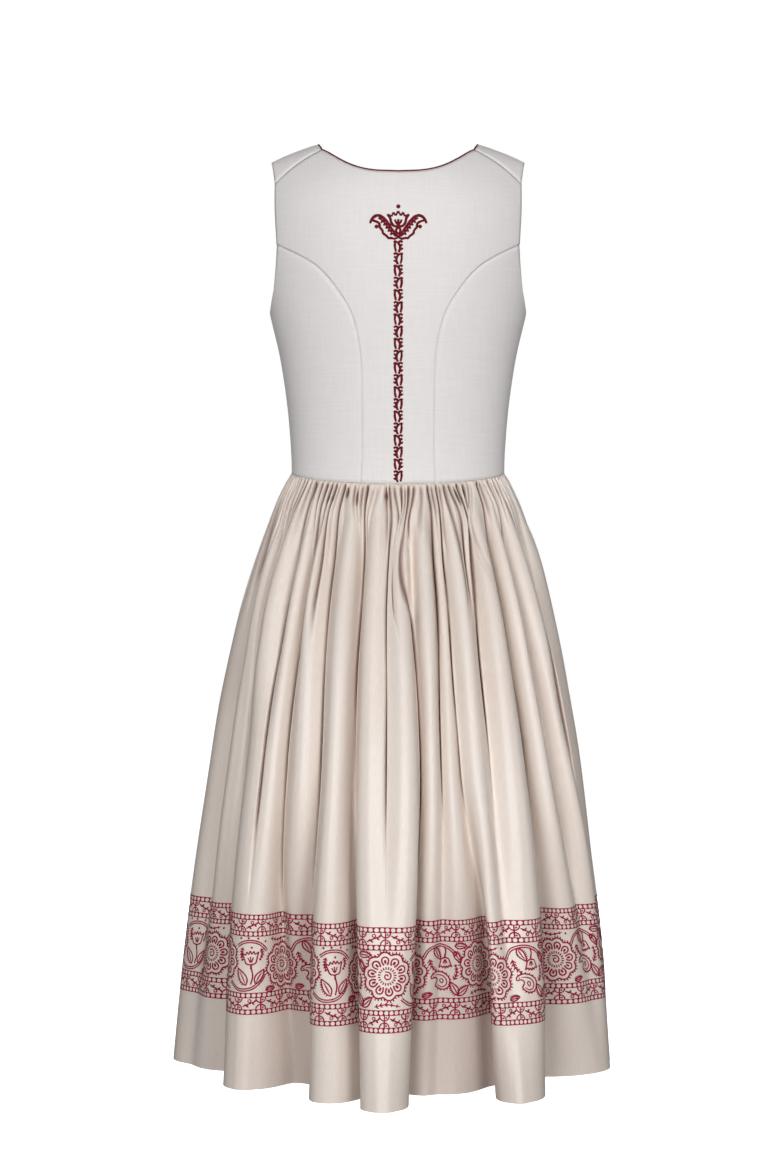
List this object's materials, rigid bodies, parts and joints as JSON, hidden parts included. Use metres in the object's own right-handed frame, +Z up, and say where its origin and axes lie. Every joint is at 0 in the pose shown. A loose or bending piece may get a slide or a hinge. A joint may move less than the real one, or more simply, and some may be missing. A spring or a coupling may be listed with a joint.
{
  "type": "dirndl",
  "caption": "Sleeveless dirndl with a fitted princess-seamed bodice, piped scoop neck and a full gathered skirt with a printed hem border, held open in its worn shape.",
  "frame": {"origin": "midway between the shoulders, on the shoulder line, at the height of the neck points, where the wearer holds the dress up", "axes": "+Z up; the back of the dress faces +Y and the front faces -Y; the wearer's right is -X"},
  "size_m": [0.5298, 0.5319, 1.1017],
  "materials": {
    "bodice_linen": "matte plain weave",
    "piping_cotton": "matte",
    "skirt_satin": "soft satin sheen"
  },
  "bodies": {
    "root": {"centre_back": "bodice_linen", "side_back_right": "bodice_linen", "side_back_left": "bodice_linen", "side_front_right": "bodice_linen", "side_front_left": "bodice_linen", "front_right": "bodice_linen", "front_left": "bodice_linen", "neck_piping": "piping_cotton", "skirt_back": "skirt_satin", "skirt_front": "skirt_satin"}
  },
  "joints": []
}
